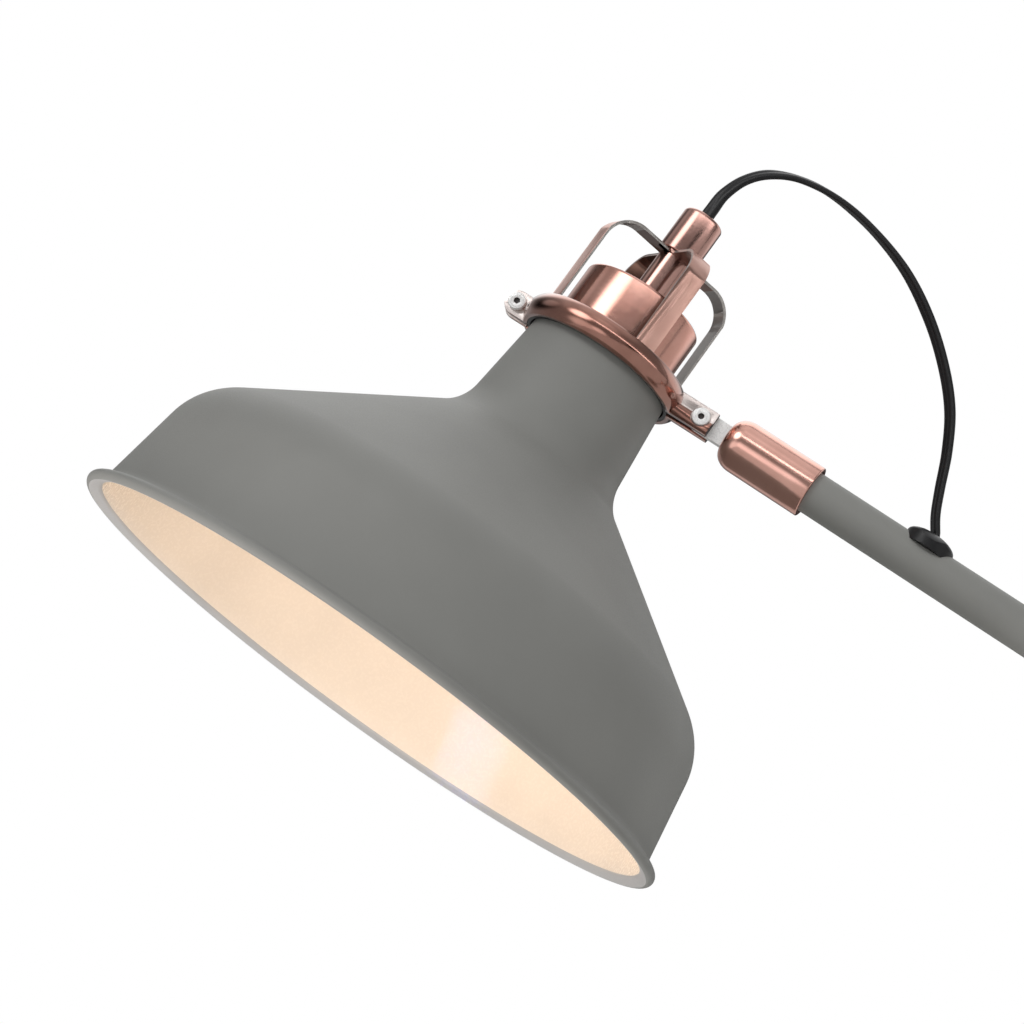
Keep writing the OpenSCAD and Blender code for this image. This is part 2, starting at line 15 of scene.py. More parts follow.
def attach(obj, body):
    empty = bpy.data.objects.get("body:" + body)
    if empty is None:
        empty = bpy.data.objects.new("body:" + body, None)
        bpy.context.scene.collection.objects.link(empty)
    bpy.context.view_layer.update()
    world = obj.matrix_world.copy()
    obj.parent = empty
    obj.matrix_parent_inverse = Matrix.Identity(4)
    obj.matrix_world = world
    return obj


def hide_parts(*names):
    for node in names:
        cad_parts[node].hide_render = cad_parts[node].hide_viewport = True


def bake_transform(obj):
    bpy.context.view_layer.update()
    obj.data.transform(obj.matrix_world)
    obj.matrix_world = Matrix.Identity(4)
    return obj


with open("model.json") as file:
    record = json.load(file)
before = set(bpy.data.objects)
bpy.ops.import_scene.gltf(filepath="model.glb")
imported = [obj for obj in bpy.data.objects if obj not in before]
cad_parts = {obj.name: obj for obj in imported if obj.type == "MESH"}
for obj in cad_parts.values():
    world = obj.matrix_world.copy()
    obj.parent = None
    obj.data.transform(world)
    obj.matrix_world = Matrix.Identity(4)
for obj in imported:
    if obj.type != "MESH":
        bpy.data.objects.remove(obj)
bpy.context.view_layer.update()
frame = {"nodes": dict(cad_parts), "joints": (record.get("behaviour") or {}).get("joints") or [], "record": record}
scene = bpy.context.scene

MM = 0.001
Y_AXIS = Vector((0.0, 1.0, 0.0))    # square to the lamp's middle plane
JOINTS = {joint["name"]: joint for joint in frame["joints"]}
MOUNTS = {mount["name"]: mount for mount in frame["record"]["mounts"]}
BODIES = frame["record"]["behaviour"]["bodies"]
BODY_OF = {node: body for body, nodes in BODIES.items() for node in nodes}

# ---- sizes in millimetres, the same as those of the CAD; heights are up the shade's axis
RIM_R = 125.0
RING_S = 148.8            # height of the clamp ring
HINGE_X = 43.9            # from the shade's axis to the tilt screw
NECK_R = 28.6
CUP_R = 24.6
CUP_BOTTOM = 132
CUP_TOP = 175.2
STEM_R = 6.6
HUB_S = 196.0             # height of the cage's hub
CAP_R = 8.3
CAP_TOP = 216.0
RING_OUT = 35.0
HINGE_FACE = 3.9          # outer face of the hinge lug, from the lamp's middle plane
CLAMP_FACE = 3.1
TUBE_R = 8.0
SLEEVE_R = 10.2
SLEEVE_END = 48.5
# the head cord's middle line (x, z) from the tilt screw, from the cap round to the grommet
CORD_ROUTE = [(2.9, 80.3), (5.8, 84.4), (10.5, 90.5), (18.5, 96), (28, 98), (39.5, 95.5),
              (52, 88), (65, 75), (77, 57.5), (85, 38), (89.5, 19), (91, 2),
              (89.2, -14), (86, -28), (84, -38), (83.6, -46)]


# ---------------------------------------------------------------- local frames
def local_frame(origin, z_axis):
    """Rigid matrix of a frame at origin (metres) whose Z lies in the lamp's middle plane."""
    z_axis = z_axis.normalized()
    turn = Matrix((Y_AXIS.cross(z_axis), Y_AXIS, z_axis)).transposed()
    return Matrix.Translation(origin) @ turn.to_4x4()


pivot = Vector(JOINTS["head_tilt"]["pos_m"])
elbow = Vector(JOINTS["elbow_bend"]["pos_m"])
shoulder = Vector(JOINTS["shoulder_tilt"]["pos_m"])
shade_axis = -Vector(MOUNTS["bulb_socket"]["axis"])
HEAD = local_frame(pivot, shade_axis)
HEAD.translation = HEAD @ Vector((-HINGE_X * MM, 0, -RING_S * MM))
UPPER = local_frame(pivot, elbow - pivot)
LOWER = local_frame(shoulder, elbow - shoulder)
BASE = Matrix.Identity(4)


# ---------------------------------------------------------------- camera
CAMERA_AZIMUTH = math.radians(4.16)
CAMERA_RISE = math.radians(17.22)
CAMERA_DISTANCE = 1.0
CAMERA_LENS = 97.29
CAMERA_SENSOR = 36.0
CAMERA_NEAR = 0.01
CAMERA_AIM = pivot + Vector((-0.0689, -0.0144, -0.0379))


def make_camera():
    """Camera at the photograph's angle: low, looking up under the shade."""
    forward = Vector((-math.sin(CAMERA_AZIMUTH) * math.cos(CAMERA_RISE),
                      math.cos(CAMERA_AZIMUTH) * math.cos(CAMERA_RISE),
                      math.sin(CAMERA_RISE)))
    data = bpy.data.cameras.new("camera")
    data.lens = CAMERA_LENS
    data.sensor_width = CAMERA_SENSOR
    data.clip_start = CAMERA_NEAR
    camera = bpy.data.objects.new("camera", data)
    camera.location = CAMERA_AIM - forward * CAMERA_DISTANCE
    camera.rotation_euler = forward.to_track_quat("-Z", "Y").to_euler()
    scene.collection.objects.link(camera)
    scene.camera = camera


# ---------------------------------------------------------------- material tools
# sockets of a Mix node that mixes colours
MIX_FACTOR = 0
MIX_A = 6
MIX_B = 7
MIX_RESULT = 2


def set_inputs(node, values):
    """Sets unlinked inputs by their names."""
    for name, value in values.items():
        node.inputs[name].default_value = value


class Finish:
    """A Principled material and short names for the nodes that give it grain."""

    def __init__(self, name, color, **values):
        self.material = bpy.data.materials.new(name)
        self.material.use_nodes = True
        self.tree = self.material.node_tree
        self.shader = self.tree.nodes["Principled BSDF"]
        self.material.diffuse_color = (*color, 1)
        set_inputs(self.shader, {"Base Color": (*color, 1)})
        set_inputs(self.shader, {name.replace("_", " "): value for name, value in values.items()})

    def node(self, kind, **settings):
        node = self.tree.nodes.new(kind)
        for name, value in settings.items():
            setattr(node, name, value)
        return node

    def link(self, source, target):
        self.tree.links.new(source, target)

    def place(self, local, size):
        """Coordinates in a local frame, counted in grains of that size in metres."""
        coords = self.node("ShaderNodeTexCoord")
        mapping = self.node("ShaderNodeMapping", vector_type="TEXTURE")
        set_inputs(mapping, {"Location": local.to_translation(),
                             "Rotation": local.to_euler(),
                             "Scale": size})
        self.link(coords.outputs["Object"], mapping.inputs["Vector"])
        return mapping.outputs["Vector"]

    def noise(self, local, size, detail=2.0):
        """Noise from 0 to 1 with grains of that size (x, y, z) in a local frame."""
        noise = self.node("ShaderNodeTexNoise")
        set_inputs(noise, {"Scale": 1.0, "Detail": detail, "Roughness": 0.5})
        self.link(self.place(local, size), noise.inputs["Vector"])
        return noise.outputs["Fac"]

    def ramp(self, value, low, high, to_low, to_high):
        """Carries value smoothly from low..high to to_low..to_high."""
        node = self.node("ShaderNodeMapRange", interpolation_type="SMOOTHSTEP")
        for index, number in enumerate((low, high, to_low, to_high), start=1):
            node.inputs[index].default_value = number
        self.link(value, node.inputs["Value"])
        return node.outputs["Result"]

    def tint(self, value, dark, light):
        """Base colour from dark to light as value goes from 0 to 1."""
        mix = self.node("ShaderNodeMix", data_type="RGBA")
        mix.inputs[MIX_A].default_value = (*dark, 1)
        mix.inputs[MIX_B].default_value = (*light, 1)
        self.link(value, mix.inputs[MIX_FACTOR])
        self.link(mix.outputs[MIX_RESULT], self.shader.inputs["Base Color"])

    def rough(self, value):
        self.link(value, self.shader.inputs["Roughness"])

    def bump(self, value, height):
        """Bumps of that height in metres."""
        last = self.shader.inputs["Normal"]
        bump = self.node("ShaderNodeBump")
        set_inputs(bump, {"Strength": 1.0, "Distance": height})
        self.link(value, bump.inputs["Height"])
        if last.is_linked:
            self.link(last.links[0].from_socket, bump.inputs["Normal"])
        self.link(bump.outputs["Normal"], last)


def scaled(color, factor):
    return [factor * channel for channel in color]


# size in metres of the patches where a coat's tone drifts, of a brushed line's length and
# width, and of the stains on plated metal
CLOUD = 0.04
LINE_LENGTH = 0.03
LINE_WIDTH = 0.00016
STAIN = 0.012
LINE_HEIGHT = 0.0000002   # metres


def powder_coat(name, color, grain=0.00045, height=0.00002, roughness=0.55):
    """Powder coat: a fine pebbled grain and a slight change of tone across it."""
    finish = Finish(name, color, Roughness=roughness, Specular_IOR_Level=0.35)
    pebbles = finish.noise(BASE, (grain,) * 3, detail=3.0)
    clouds = finish.noise(BASE, (CLOUD,) * 3)
    tone = finish.ramp(clouds, 0.3, 0.7, 0.0, 1.0)
    finish.tint(tone, scaled(color, 0.965), scaled(color, 1.03))
    finish.rough(finish.ramp(pebbles, 0.3, 0.7, roughness - 0.06, roughness + 0.08))
    finish.bump(pebbles, height)
    return finish.material


def brushed(name, color, dark, local, around=True, roughness=0.17, **values):
    """Plated metal brushed around its local Z axis, or along it."""
    finish = Finish(name, color, Metallic=1.0, Roughness=roughness, **values)
    if around:
        size = (LINE_LENGTH, LINE_LENGTH, LINE_WIDTH)
    else:
        size = (LINE_WIDTH * 1.4, LINE_WIDTH * 1.4, LINE_LENGTH)
    lines = finish.noise(local, size, detail=1.0)
    stain = finish.noise(local, (STAIN,) * 3, detail=3.0)
    finish.tint(finish.ramp(stain, 0.3, 0.72, 0.0, 1.0), dark, color)
    finish.rough(finish.ramp(lines, 0.3, 0.7, roughness - 0.02, roughness + 0.05))
    finish.bump(lines, LINE_HEIGHT)
    return finish.material


def plain(name, color, grain, height, roughness, **values):
    """A moulded, cast or machined material with an even grain."""
    finish = Finish(name, color, Roughness=roughness, **values)
    pebbles = finish.noise(BASE, (grain,) * 3, detail=3.0)
    finish.rough(finish.ramp(pebbles, 0.3, 0.7, roughness - 0.05, roughness + 0.07))
    finish.tint(finish.ramp(pebbles, 0.2, 0.8, 0.0, 1.0), scaled(color, 0.92), scaled(color, 1.06))
    finish.bump(pebbles, height)
    return finish.material


# ---------------------------------------------------------------- materials
GREY = (0.252, 0.252, 0.239)
ARM_GREY = (0.25, 0.25, 0.236)
COPPER = (0.72, 0.395, 0.325)
COPPER_DARK = (0.64, 0.33, 0.265)

paint = powder_coat("sand_grey_paint", GREY)
tube_paint = powder_coat("arm_paint", ARM_GREY, grain=0.00035)
# cream paint inside the shade; its warm tint also paints in the warm glow of light inside the shade
cream = powder_coat("cream_lining_and_warm_glow", (0.95, 0.82, 0.68), grain=0.0012, height=0.000002,
                    roughness=0.24)
# paler copy of the grey paint for the lip under the bead: painted light from the bright surroundings below
lip_paint_painted_light = powder_coat("lip_paint_painted_light", (0.46, 0.45, 0.44), grain=0.0008, height=0.00001,
                        roughness=0.4)
copper_round = brushed("copper_around_head", COPPER, COPPER_DARK, HEAD)
copper_cap = brushed("copper_cap", (0.54, 0.32, 0.275), (0.47, 0.265, 0.225), HEAD)
copper_ring = brushed("copper_ring", (0.42, 0.20, 0.15), (0.34, 0.15, 0.11), HEAD, roughness=0.15,
                      Coat_Weight=1.0, Coat_Roughness=0.08)
copper_strap = brushed("copper_strap", (0.66, 0.40, 0.335), (0.59, 0.345, 0.285), HEAD,
                       around=False, roughness=0.3)
strap_inside = plain("strap_inside", (0.40, 0.38, 0.36), 0.0006, 0.000008, 0.34, Metallic=0.7)
# dark brown copy of the strap copper: painted shade under the hub and a painted reflection of the dark cup on the
# far strap
strap_shade_paint = brushed("strap_painted_shade", (0.20, 0.11, 0.085), (0.14, 0.075, 0.055), HEAD,
                      around=False, roughness=0.3)
copper_upper = brushed("copper_upper", (0.80, 0.46, 0.385), (0.72, 0.40, 0.33), UPPER,
                       around=False)
copper_lower = brushed("copper_lower", COPPER, COPPER_DARK, LOWER, around=False)
copper_base = brushed("copper_base", COPPER, COPPER_DARK, BASE)
steel = plain("bright_steel", (0.97, 0.97, 0.96), 0.0004, 0.0000005, 0.3, Metallic=0.15)
# paler copy of the copper for the lugs' flats: painted reflection of the bright studio
lug_painted_reflection = brushed("lug_painted_reflection", (0.78, 0.70, 0.67), (0.66, 0.58, 0.55), HEAD, around=False,
                    roughness=0.3)
# near black for the hinge lugs' round ends and the screw sockets: painted shadow and painted shade
painted_shade_black = plain("painted_shade_black", (0.03, 0.022, 0.02), 0.0005, 0.000004, 0.5)
zinc = plain("zinc_steel", (0.55, 0.55, 0.55), 0.002, 0.00001, 0.38, Metallic=1.0)
brass = plain("brass", (0.78, 0.56, 0.24), 0.0006, 0.000005, 0.25, Metallic=1.0)
rubber = plain("black_rubber", (0.010, 0.010, 0.011), 0.0004, 0.00001, 0.36,
               Specular_IOR_Level=0.3)
black_plastic = plain("black_plastic", (0.03, 0.03, 0.032), 0.0003, 0.00001, 0.45)
porcelain = plain("white_plastic", (0.86, 0.85, 0.81), 0.0006, 0.000008, 0.3)
iron = plain("cast_iron", (0.09, 0.09, 0.095), 0.0016, 0.00012, 0.7, Metallic=0.6)


# ---------------------------------------------------------------- shape tools
def add_piece(name, mesh, materials, slot, node, rides=True):
    """Puts a mesh in the scene as the piece that stands for a CAD node and rides on its body."""
    for material in materials:
        mesh.materials.append(material)
    piece = bpy.data.objects.new(name, mesh)
    scene.collection.objects.link(piece)
    if rides:
        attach(piece, BODY_OF[node])
    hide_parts(node)
    return piece


def paint_faces(mesh, local, choose):
    """Gives each face the material that choose(centre in mm, normal) names, in a local frame."""
    to_local = local.inverted()
    turn = to_local.to_3x3()
    for face in mesh.polygons:
        face.material_index = choose((to_local @ face.center) / MM, turn @ face.normal)


def smooth(mesh, angle=35.0):
    """Smooth shading, with the edges sharper than angle degrees kept sharp."""
    mesh.shade_smooth()
    mesh.set_sharp_from_angle(angle=math.radians(angle))


def arc(center, radius, start, end, steps):
    """Points of an arc between two angles in degrees."""
    turns = [math.radians(start + (end - start) * i / steps) for i in range(steps + 1)]
    return [(center[0] + radius * math.cos(t), center[1] + radius * math.sin(t)) for t in turns]


def rounded(corners, steps=6):
    """Points along corners (r, z) or (r, z, radius): a radius rounds its corner."""
    points = []
    for index, corner in enumerate(corners):
        here = Vector(corner[:2])
        radius = corner[2] if len(corner) == 3 else 0
        if not radius:
            points.append(tuple(here))
            continue
        back = (Vector(corners[index - 1][:2]) - here).normalized()
        ahead = (Vector(corners[(index + 1) % len(corners)][:2]) - here).normalized()
        half = back.angle(ahead) / 2
        reach = radius / math.tan(half)
        center = here + (back + ahead).normalized() * radius / math.sin(half)
        first = here + back * reach - center
        last = here + ahead * reach - center
        turn = first.angle_signed(last)
        for step in range(steps + 1):
            angle = -turn * step / steps
            points.append(tuple(center + Matrix.Rotation(angle, 2) @ first))
    return points


def lathe(profile, local, segments=128, material_at=None):
    """Mesh of a closed profile of (r, z) points in millimetres turned about local Z."""
    bm = bmesh.new()
    uv_layer = bm.loops.layers.uv.new("UVMap")
    rings = []
    for r, z in profile:
        rings.append([bm.verts.new((r * math.cos(2 * math.pi * k / segments),
                                    r * math.sin(2 * math.pi * k / segments), z))
                      for k in range(segments)])
    travel = 0.0
    count = len(profile)
    for index in range(count):
        after = (index + 1) % count
        arrived = travel + math.dist(profile[index], profile[after])
        for k in range(segments):
            beside = (k + 1) % segments
            face = bm.faces.new((rings[index][k], rings[index][beside],
                                 rings[after][beside], rings[after][k]))
            face.material_index = material_at(index) if material_at else 0
            corners = ((k, travel), (k + 1, travel), (k + 1, arrived), (k, arrived))
            for loop, (turned, along) in zip(face.loops, corners):
                loop[uv_layer].uv = (turned / segments, along / 100)
        travel = arrived
    bmesh.ops.recalc_face_normals(bm, faces=bm.faces)
    mesh = bpy.data.meshes.new("lathe")
    bm.to_mesh(mesh)
    bm.free()
    mesh.transform(local @ Matrix.Scale(MM, 4))
    smooth(mesh)
    return mesh


WELD = 2e-6               # metres between points that are one
FLAT_ANGLE = math.radians(0.4)
SHARP_ANGLE = math.radians(28)


def eased(node, width):
    """A copy of a CAD node's mesh with its sharp edges rounded by width millimetres."""
    bm = bmesh.new()
    bm.from_mesh(frame["nodes"][node].data)
    bmesh.ops.remove_doubles(bm, verts=bm.verts, dist=WELD)
    bmesh.ops.dissolve_limit(bm, angle_limit=FLAT_ANGLE, verts=bm.verts, edges=bm.edges)
    edges = [edge for edge in bm.edges
             if edge.is_manifold and edge.calc_face_angle() > SHARP_ANGLE]
    bmesh.ops.bevel(bm, geom=edges, offset=width * MM, offset_type="OFFSET", segments=2,
                    profile=0.5, affect="EDGES", clamp_overlap=True)
    mesh = bpy.data.meshes.new(node)
    bm.to_mesh(mesh)
    bm.free()
    smooth(mesh, 40)
    return mesh


def eased_piece(node, width, material, slot):
    """Stands a rounded copy in for a CAD node."""
    piece = add_piece(node + "_piece", eased(node, width), [material], slot, node)
    normals = piece.modifiers.new("face_weighted_normals", "WEIGHTED_NORMAL")
    normals.keep_sharp = True


# ---------------------------------------------------------------- head cord
def catmull(points, parts):
    """Smooth curve through points, with the given number of parts to each span."""
    curve = []
    last = len(points) - 1
    for i in range(last):
        a, b, c, d = points[max(i - 1, 0)], points[i], points[i + 1], points[min(i + 2, last)]
        for step in range(parts):
            t = step / parts
            curve.append(0.5 * (2 * b + (c - a) * t + (2 * a - 5 * b + 4 * c - d) * t ** 2
                                + (3 * b - a - 3 * c + d) * t ** 3))
    curve.append(points[last])
    return curve


CORD_HALF_WIDTH = 2.7
CORD_HALF_THICKNESS = 1.3
CORD_SIDES = 32
CORD_ROUNDING = 2.8       # power of the flat section's rounded outline
CORD_GROOVE = 0.16        # depth of the groove between its two cores, as a share of the thickness
CORD_GROOVE_WIDTH = 0.22  # as a share of the half width
CORD_PARTS = 8            # of the drawn line between two points of the route
CORD_IN_CAP = 4           # how far the drawn ends reach into the cap and into the tube
CORD_IN_TUBE = 5
# share of the cord's length, turn of its broad side out of the lamp plane in degrees
CORD_TWIST = [(0.0, 5), (0.25, 36), (0.35, 62), (0.45, 90), (0.60, 118), (0.75, 123), (1.0, 110)]


def cord_turn(share):
    """Turn of the cord's broad side, in radians, at a share of its length."""
    for (s0, a0), (s1, a1) in zip(CORD_TWIST, CORD_TWIST[1:]):
        if share <= s1:
            t = (share - s0) / (s1 - s0)
            return math.radians(a0 + (a1 - a0) * t * t * (3 - 2 * t))
    return math.radians(CORD_TWIST[-1][1])


def cord_section():
    """Points (broad, thin) in metres round the flat twin section, grooved along both faces."""
    half_width = CORD_HALF_WIDTH * MM
    half_thickness = CORD_HALF_THICKNESS * MM
    points = []
    for k in range(CORD_SIDES):
        angle = 2 * math.pi * k / CORD_SIDES
        c, s = math.cos(angle), math.sin(angle)
        flat = (abs(c) ** CORD_ROUNDING + abs(s) ** CORD_ROUNDING) ** (-1 / CORD_ROUNDING)
        groove = 1 - CORD_GROOVE * math.exp(-(flat * c / CORD_GROOVE_WIDTH) ** 2)
        points.append((half_width * flat * c, half_thickness * flat * s * groove))
    return points


def make_cord():
    """The flat twin cord that loops from the cap to the grommet of the upper arm."""
    route = [pivot + Vector((x, 0, z)) * MM for x, z in CORD_ROUTE]
    line = catmull(route, CORD_PARTS)
    into_cap = HEAD.to_3x3() @ Vector((0, 0, -CORD_IN_CAP * MM))
    line.insert(0, line[0] + into_cap)
    into_tube = (UPPER.to_3x3() @ Vector((1, 0, 0))) * CORD_IN_TUBE * MM
    line.append(line[-1] + into_tube)
    section = cord_section()
    bm = bmesh.new()
    rings = []
    for index, point in enumerate(line):
        ahead = (line[min(index + 1, len(line) - 1)] - line[max(index - 1, 0)]).normalized()
        across = ahead.cross(Y_AXIS)
        turn = cord_turn(index / (len(line) - 1))
        broad = across * math.cos(turn) + Y_AXIS * math.sin(turn)
        thin = ahead.cross(broad)
        rings.append([bm.verts.new(point + broad * wide + thin * high) for wide, high in section])
    for one, two in zip(rings, rings[1:]):
        for k in range(CORD_SIDES):
            beside = (k + 1) % CORD_SIDES
            bm.faces.new((one[k], one[beside], two[beside], two[k]))
    bm.faces.new(list(reversed(rings[0])))
    bm.faces.new(rings[-1])
    bmesh.ops.recalc_face_normals(bm, faces=bm.faces)
    mesh = bpy.data.meshes.new("head_cord")
    bm.to_mesh(mesh)
    bm.free()
    smooth(mesh, 50)
    piece = add_piece("flat_head_cord", mesh, [rubber], "black_rubber", "head_cord", rides=False)
    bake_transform(piece)


# ---------------------------------------------------------------- shade
SHADE_WALL = 0.8
SKIRT_END = (119.2, 5.4)  # where the skirt turns out into the lip, outside
SKIRT_END_INSIDE = (118.3, 4.5)
SHOULDER_R, SHOULDER_Z, SHOULDER_FILLET = 113, 46.5, 28
THROAT_R, THROAT_Z, THROAT_FILLET = 33.2, 103.6, 20
NECK_TOP = RING_S + 2.6
NECK_EDGE = 0.35          # rounding of the neck's outer edge
BEAD_R = 2.1
BEAD_Z = -0.8             # the bead's centre over the rim plane
BEAD_TURNS = (112, -88, -112)  # in degrees: where the bead starts, its bottom and its end
FILLET_STEPS = 20
# (r, z) of the lip's crease outside, and of the bead's edge lapped against the cream inside
CREASE = [(119.25, 4.2), (119.6, 2.9), (120.4, 1.75), (121.5, 1.25)]
LAP = [(120.0, -1.75), (119.1, -1.2), (118.75, -0.5)]


def make_shade():
    """Spun shade: grey outside, cream inside, a flared lip rolled into a bead."""
    outer = rounded([SKIRT_END, (SHOULDER_R, SHOULDER_Z, SHOULDER_FILLET),
                     (THROAT_R, THROAT_Z, THROAT_FILLET), (NECK_R, NECK_TOP, NECK_EDGE)],
                    FILLET_STEPS)
    neck_edge = rounded([(THROAT_R, THROAT_Z), (NECK_R, NECK_TOP, NECK_EDGE),
                         (NECK_R - SHADE_WALL, NECK_TOP)], 3)
    outer = outer[:-1] + neck_edge[1:-1]
    inner = rounded([(NECK_R - SHADE_WALL, NECK_TOP),
                     (THROAT_R - SHADE_WALL - 0.25, THROAT_Z - 0.5, THROAT_FILLET + SHADE_WALL),
                     (SHOULDER_R - SHADE_WALL + 0.05, SHOULDER_Z - SHADE_WALL + 0.2,
                      SHOULDER_FILLET - SHADE_WALL),
                     SKIRT_END_INSIDE], FILLET_STEPS)
    bead = (RIM_R - BEAD_R, BEAD_Z)
    start, bottom, end = BEAD_TURNS
    outside_bead = arc(bead, BEAD_R, start, bottom, 20)
    under_bead = arc(bead, BEAD_R, bottom, end, 3)[1:] + LAP
    profile = outer[::-1] + CREASE + outside_bead + under_bead + inner[::-1]
    first_under = len(outer) + len(CREASE) + len(outside_bead) - 1
    first_cream = first_under + len(under_bead)

    def material_at(index):
        """Paint outside, a paler copy of the paint under the bead as painted light, and cream inside."""
        if index < first_under:
            return 0
        return 2 if index < first_cream else 1

    mesh = lathe(profile, HEAD, segments=256, material_at=material_at)
    add_piece("spun_shade", mesh, [paint, cream, lip_paint_painted_light], "sand_grey_paint", "shade")


# ---------------------------------------------------------------- lampholder and cap
CUP_WALL = 1
CUP_CEILING = 1.2         # thickness of the cup's top
NIPPLE_HOLE_R = 5         # hole in the cup's top for the hollow nipple
STEM_BORE_R = 5.1
STEM_FOOT_R = 7.3
STEM_FOOT = 1.2           # height of the foot's straight side
STEM_FOOT_END = 1.7       # height where the foot has narrowed to the stem
HUB_TOP = HUB_S + 1.4
BUSH_TOP = HUB_S + 12
CAP_BORE_R = 5.05
CORD_HOLE_R = 3.6         # hole in the cap's top for the cord


def make_cup():
    """Turned cup over the lampholder, open at the bottom."""
    inside_r = CUP_R - CUP_WALL
    inside_top = CUP_TOP - CUP_CEILING
    profile = rounded([(inside_r, CUP_BOTTOM), (CUP_R, CUP_BOTTOM, 0.3), (CUP_R, CUP_TOP, 1.3),
                       (NIPPLE_HOLE_R, CUP_TOP), (NIPPLE_HOLE_R, inside_top),
                       (inside_r, inside_top, 0.5)])
    add_piece("turned_cup", lathe(profile, HEAD), [copper_round], "copper", "lamp_cup")


def make_stem():
    """Turned stem from the cup's top up to the cage's hub, with a small foot."""
    profile = rounded([(STEM_BORE_R, CUP_TOP), (STEM_FOOT_R, CUP_TOP, 0.3),
                       (STEM_FOOT_R, CUP_TOP + STEM_FOOT, 0.4), (STEM_R, CUP_TOP + STEM_FOOT_END),
                       (STEM_R, HUB_S), (STEM_BORE_R, HUB_S)])
    add_piece("turned_stem", lathe(profile, HEAD, 96), [copper_cap], "copper", "stem")


def make_cap():
    """Turned cap over the hub, bored wide for its bush and narrow for the cord."""
    profile = rounded([(CAP_BORE_R, HUB_TOP), (CAP_R, HUB_TOP, 0.4), (CAP_R, CAP_TOP, 1.5),
                       (CORD_HOLE_R, CAP_TOP, 0.3), (CORD_HOLE_R, BUSH_TOP),
                       (CAP_BORE_R, BUSH_TOP)])
    add_piece("turned_cap", lathe(profile, HEAD, 96), [copper_cap], "copper", "cord_cap")


FACING = 0.8              # cosine between a face's normal and the way it looks
HUB_PAINTED_SHADE_R = 15          # faces under the cage's hub within this distance from the axis get the painted shade
HINGE_END = HINGE_X + 4   # the round ends of the hinge lugs lie beyond this
HINGE_ROOT = RING_OUT - 1.5
CLAMP_ROOT = RING_OUT + 0.5
NEAR = 0.25               # a face this close to a lug's flat belongs to it


def make_cage():
    """Straps over the cup: copper outside, bare grey inside, with painted shade under the hub and a painted
    reflection of the dark cup on the far strap.
    """
    def choose(center, normal):
        outwards = Vector((center.x, center.y, 0)).normalized()
        slanted = (outwards + Vector((0, 0, 1))).normalized()
        facing = max(normal.dot(outwards), normal.z, normal.dot(slanted))
        if facing > FACING:
            return 0
        under_hub = math.hypot(center.x, center.y) < HUB_PAINTED_SHADE_R
        # under the hub and inside the far strap the faces are painted dark brown: painted shade and painted
        # reflection
        return 2 if under_hub or center.x < 0 < center.y else 1

    mesh = eased("cage", 0.15)
    paint_faces(mesh, HEAD, choose)
    add_piece("strap_cage", mesh, [copper_strap, strap_inside, strap_shade_paint], "copper", "cage")


def make_clamps():
    """Both halves of the clamp ring: glossy copper, the lugs' flats paler as a painted reflection of the bright
    studio, and the hinge lugs' round ends dark as a painted shadow.
    """
    def choose(center, normal):
        # the hinge lugs' round ends are painted dark: painted shadow where they meet the tongue
        on_end = center.x > HINGE_END and normal.x > FACING
        if on_end:
            return 2
        face = HINGE_FACE if center.x > 0 else CLAMP_FACE
        # the lugs' flats take the paler copper: painted reflection
        on_flat = abs(center.x) > HINGE_ROOT and abs(abs(center.y) - face) < NEAR
        on_clamp_lug = center.x < -CLAMP_ROOT
        return 1 if on_flat or on_clamp_lug else 0

    for node in ("clamp_front", "clamp_rear"):
        mesh = eased(node, 0.3)
        paint_faces(mesh, HEAD, choose)
        add_piece(node + "_half", mesh, [copper_ring, lug_painted_reflection, painted_shade_black], "copper", node)


SOCKET_R = 1.4
SOCKET_DEPTHS = (0.25, 2) # the part painted dark as painted shade in the socket lies between these depths under the head's top


def make_socket_screw(node):
    """Round screw head whose hexagonal socket is painted dark as painted shade."""
    mesh = eased(node, 0.35)
    points = [HEAD.inverted() @ vertex.co / MM for vertex in mesh.vertices]
    axis_x = (min(p.x for p in points) + max(p.x for p in points)) / 2
    axis_z = (min(p.z for p in points) + max(p.z for p in points)) / 2
    head_top = min(p.y for p in points)

    def choose(center, normal):
        off_axis = math.hypot(center.x - axis_x, center.z - axis_z)
        depth = center.y - head_top
        # the socket's inside is painted dark: painted shade in the recess
        in_socket = off_axis < SOCKET_R and SOCKET_DEPTHS[0] < depth < SOCKET_DEPTHS[1]
        return 1 if in_socket else 0

    paint_faces(mesh, HEAD, choose)
    add_piece(node + "_piece", mesh, [steel, painted_shade_black], "bright_steel", node)


DOME_FLAT_R = 5.0         # the sleeve's dome starts at this radius
DOME_END = 18.4
DOME_HEIGHT = 6.9
DOME_STEPS = 12
BARREL_START = 40
SLEEVE_BORE_R = 4.9       # round the tongue's shank
SLEEVE_BORE = (12.2, 18)  # where that bore starts and ends along the arm


def make_sleeve():
    """Domed copper sleeve between the tongue and the arm's tube."""
    turns = [math.radians(90 * step / DOME_STEPS) for step in range(DOME_STEPS + 1)]
    dome_out = SLEEVE_R - DOME_FLAT_R
    dome = [(DOME_FLAT_R + dome_out * math.sin(turn), DOME_END - DOME_HEIGHT * math.cos(turn))
            for turn in turns]
    tube_seat_r = TUBE_R + 0.02
    bore_start, bore_end = SLEEVE_BORE
    barrel = rounded([(SLEEVE_R, BARREL_START), (SLEEVE_R, SLEEVE_END, 0.5),
                      (tube_seat_r, SLEEVE_END), (tube_seat_r, bore_end),
                      (SLEEVE_BORE_R, bore_end)])
    profile = [(SLEEVE_BORE_R, bore_start)] + dome + barrel
    add_piece("domed_sleeve", lathe(profile, UPPER, 96), [copper_upper], "copper", "head_sleeve")


# ---------------------------------------------------------------- light
BASE_LEVEL = 0.27         # light from every side, to which the zones add
